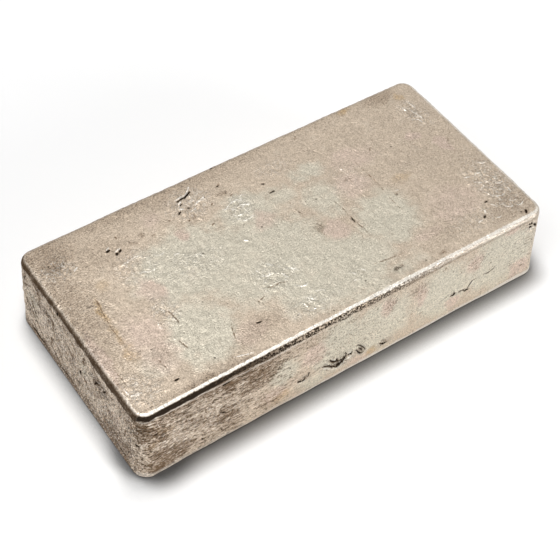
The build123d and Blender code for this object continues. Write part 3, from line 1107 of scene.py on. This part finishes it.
class SILVERBAR_OT_make_bar(bpy.types.Operator):
    """Make the cast bar, in place of the frame's plain one"""

    bl_idname = "silverbar.make_bar"
    bl_label = "Make Bar"

    def execute(self, context):
        shape = context.scene.silver_bar_shape
        skin = context.scene.silver_bar_skin
        helpers = {name: mark_lines(name, faces, shape) for name, faces in MARKS.items()}
        values = {
            **named_settings(shape),
            **named_settings(skin),
            "Cells Along": even_cells(shape.length, shape.cell),
            "Cells Across": even_cells(shape.width, shape.cell),
            "Cells Up": even_cells(shape.height, shape.cell),
            "Material": build_silver(skin),
            **helpers,
        }
        bar = grown_mesh("cast_silver_bar", build_bar_tree(shape), values)
        for helper in helpers.values():
            bpy.data.objects.remove(helper)
        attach(bar, "root")
        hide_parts(NODE)
        return {"FINISHED"}


class SILVERBAR_OT_make_stage(bpy.types.Operator):
    """Make the floor, the light and the camera"""

    bl_idname = "silverbar.make_stage"
    bl_label = "Make Stage"

    def execute(self, context):
        look = context.scene.silver_bar_stage
        make_floor(look)
        for name, towards in LAMPS.items():
            make_lamp(name, getattr(look, name), getattr(look, name + "_angle"), towards)
        make_world(look)
        make_camera(context.scene.silver_bar_view)
        return {"FINISHED"}


def make_floor(look):
    """A white floor that keeps the bar's shadow, with a painted contact shadow in its colour."""
    half = look.floor_size / 2
    corners = [(-half, -half, 0), (half, -half, 0), (half, half, 0), (-half, half, 0)]
    mesh = bpy.data.meshes.new("studio_floor")
    mesh.from_pydata(corners, [], [(0, 1, 2, 3)])
    floor = placed("studio_floor", mesh)
    material = bpy.data.materials.new("Studio Floor")
    tree = bare_tree(material)
    seen = tree.field("ShaderNodeLightPath", None, "Is Camera Ray")
    open_share = tree.field("ShaderNodeAmbientOcclusion", {"Distance": look.contact}, "AO")

    # The painted shade is narrower beside the left end, and deeper around the front left corner.
    place = tree.place_mm()
    x, y = place.xyz[:2]
    low_x, low_y = BAR_LOW.x / MM, BAR_LOW.y / MM
    beside = tree.ramp(x, low_x + 6.0, low_x - 1.0) * tree.ramp(y, low_y - 2.0, low_y + 8.0)
    from_corner = tree.length(tree.vectors("SUBTRACT", place, (low_x, low_y, 0.0)))
    darkest = 0.40 + tree.ramp(from_corner, 22.0, 5.0) * 0.22
    shade = tree.ramp(open_share, darkest, 1.0 - beside * 0.16, 0.16, 1.0)
    colour = tree.scaled(tuple(look.floor_colour), 1.0 - seen * (1.0 - shade))
    surface = tree.field("ShaderNodeBsdfDiffuse", {"Color": colour})
    tree.add("ShaderNodeOutputMaterial", {"Surface": surface})
    mesh.materials.append(material)


def make_lamp(name, strength, angle, towards):
    """A soft far lamp, in the direction in which it stands from the bar."""
    lamp = bpy.data.lights.new(name, "SUN")
    lamp.energy = strength
    lamp.angle = angle
    placed(name, lamp).rotation_euler = Vector(towards).to_track_quat("Z", "Y").to_euler()


def make_world(look):
    """Even light all around, and white wherever the background shows."""
    world = bpy.data.worlds.new("studio")
    bpy.context.scene.world = world
    tree = bare_tree(world)
    path = tree.add("ShaderNodeLightPath")
    shown = 0.0
    for ray in ("Is Camera Ray", "Is Glossy Ray", "Is Transmission Ray"):
        shown = tree.most(shown, Field(tree, path.outputs[ray]))
    strength = look.fill + shown * (1.0 - look.fill)
    background = tree.field("ShaderNodeBackground", {"Strength": strength})
    tree.add("ShaderNodeOutputWorld", {"Surface": background})


def make_camera(view):
    """The camera, turned and tilted as the photograph was taken."""
    data = bpy.data.cameras.new("photo_camera")
    data.lens = view.lens
    data.sensor_width = 36.0
    camera = placed("photo_camera", data)
    turn = (
        Matrix.Rotation(view.heading, 4, "Z")
        @ Matrix.Rotation(math.pi / 2 - view.elevation, 4, "X")
        @ Matrix.Rotation(view.roll, 4, "Z")
    )
    back = turn @ Vector((0.0, 0.0, view.distance))
    camera.matrix_world = Matrix.Translation(Vector(view.target) + back) @ turn
    bpy.context.scene.camera = camera


class SILVERBAR_PT_sidebar(bpy.types.Panel):
    """The sizes and colours of the bar and its stage."""

    bl_label = "Silver Bar"
    bl_idname = "SILVERBAR_PT_sidebar"
    bl_space_type = "VIEW_3D"
    bl_region_type = "UI"
    bl_category = "Silver Bar"

    def draw(self, context):
        for name, operator in (
            ("silver_bar_shape", None),
            ("silver_bar_skin", SILVERBAR_OT_make_bar),
            ("silver_bar_stage", None),
            ("silver_bar_view", SILVERBAR_OT_make_stage),
        ):
            group = getattr(context.scene, name)
            column = self.layout.column()
            for key in setting_keys(group):
                column.prop(group, key)
            if operator:
                column.operator(operator.bl_idname)


SETTINGS = {
    "silver_bar_shape": BarShape,
    "silver_bar_skin": BarSkin,
    "silver_bar_stage": StageLook,
    "silver_bar_view": PhotoView,
}
CLASSES = (*SETTINGS.values(), SILVERBAR_OT_make_bar, SILVERBAR_OT_make_stage, SILVERBAR_PT_sidebar)


def register():
    """Registers the classes, and puts the settings on the scene."""
    for cls in CLASSES:
        bpy.utils.register_class(cls)
    for name, group in SETTINGS.items():
        setattr(bpy.types.Scene, name, PointerProperty(type=group))


def unregister():
    """Takes the settings off the scene, and unregisters the classes."""
    for name in SETTINGS:
        delattr(bpy.types.Scene, name)
    for cls in reversed(CLASSES):
        bpy.utils.unregister_class(cls)


def main():
    """Makes the bar and the stage."""
    register()
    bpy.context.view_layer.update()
    bpy.context.scene.view_settings.view_transform = "Standard"
    bpy.ops.silverbar.make_bar()
    bpy.ops.silverbar.make_stage()


if __name__ == "__main__":
    main()
